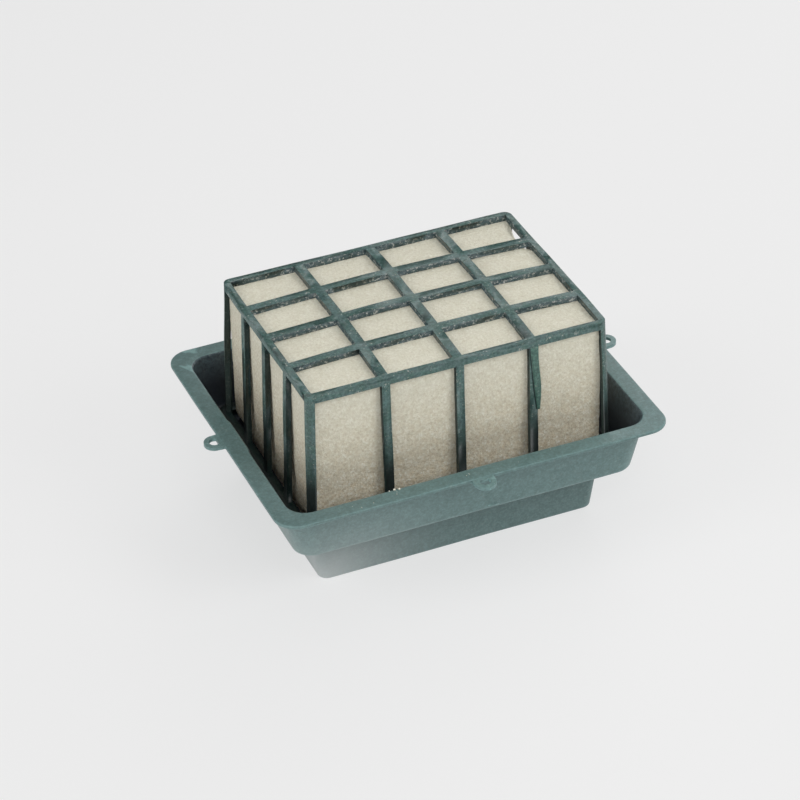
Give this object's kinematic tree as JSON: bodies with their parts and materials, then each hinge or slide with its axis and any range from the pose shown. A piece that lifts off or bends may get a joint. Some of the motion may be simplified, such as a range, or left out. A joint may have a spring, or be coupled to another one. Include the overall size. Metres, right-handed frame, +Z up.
{
  "type": "caged floral foam brick with tray",
  "caption": "Rectangular block of floral foam under a plastic lattice cage that stands in a stepped plastic tray with a flat rim and small hanging eyelets.",
  "frame": {"origin": "middle of the underside of the tray's well, on the surface it stands on", "axes": "+Z up; +X along the tray's long side, towards the right-hand eyelet; +Y towards the back eyelet"},
  "size_m": [0.1652, 0.1344, 0.0841],
  "materials": {
    "tray_plastic": "satin",
    "cage_plastic": "satin",
    "dry_foam": "matte"
  },
  "bodies": {
    "tray": {"tray_flange": "tray_plastic", "tray_upper_wall": "tray_plastic", "tray_ledge": "tray_plastic", "tray_well_wall": "tray_plastic", "tray_well_floor": "tray_plastic", "eyelet_front": "tray_plastic", "eyelet_back": "tray_plastic", "eyelet_left": "tray_plastic", "eyelet_right": "tray_plastic", "peg_sockets": "tray_plastic"},
    "cage": {"cage_top_rim": "cage_plastic", "cage_long_bars": "cage_plastic", "cage_cross_bars": "cage_plastic", "cage_corner_posts": "cage_plastic", "cage_front_bars": "cage_plastic", "cage_back_bars": "cage_plastic", "cage_left_bars": "cage_plastic", "cage_right_bars": "cage_plastic", "cage_foot_frame": "cage_plastic", "cage_pegs": "cage_plastic"},
    "foam": {"foam_brick": "dry_foam"}
  },
  "joints": [
    {"name": "cage_lift", "type": "slide", "parent": "tray", "child": "cage", "axis": [0, 0, 1], "range_m": [0, 0.13]},
    {"name": "foam_lift", "type": "slide", "parent": "tray", "child": "foam", "axis": [0, 0, 1], "range_m": [0, 0.065]}
  ],
  "couplings": [
    {"joint": "foam_lift", "follows": "cage_lift", "ratio": 0.5}
  ]
}
